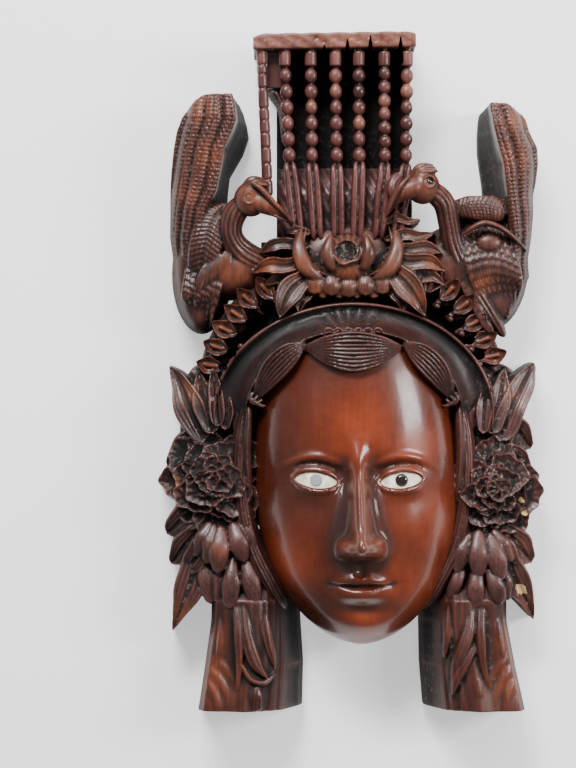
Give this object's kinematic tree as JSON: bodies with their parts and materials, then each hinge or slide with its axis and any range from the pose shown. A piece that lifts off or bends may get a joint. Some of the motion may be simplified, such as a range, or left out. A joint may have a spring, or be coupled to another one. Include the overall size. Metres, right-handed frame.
{
  "type": "carved wooden mask",
  "caption": "Carved wooden mask of a crowned lady with phoenixes, flowers and bead strings, lying on its flat back.",
  "frame": {"origin": "centre of the mask's bounding box on its flat back", "axes": "+Z out of the face, +Y from the robe's cut ends up to the crown board, +X to the viewer's right"},
  "size_m": [0.2106, 0.38, 0.0875],
  "materials": {
    "wood": "dark red-brown lacquer, glossy on the face",
    "bone": "polished bone",
    "dark_glass": "polished dark glass"
  },
  "bodies": {
    "root": {"carved_mask": "wood", "left_eye_inlay": "bone", "right_eye_inlay": "bone", "right_pupil": "dark_glass", "left_phoenix_eye": "dark_glass", "right_phoenix_eye": "dark_glass"}
  },
  "joints": []
}
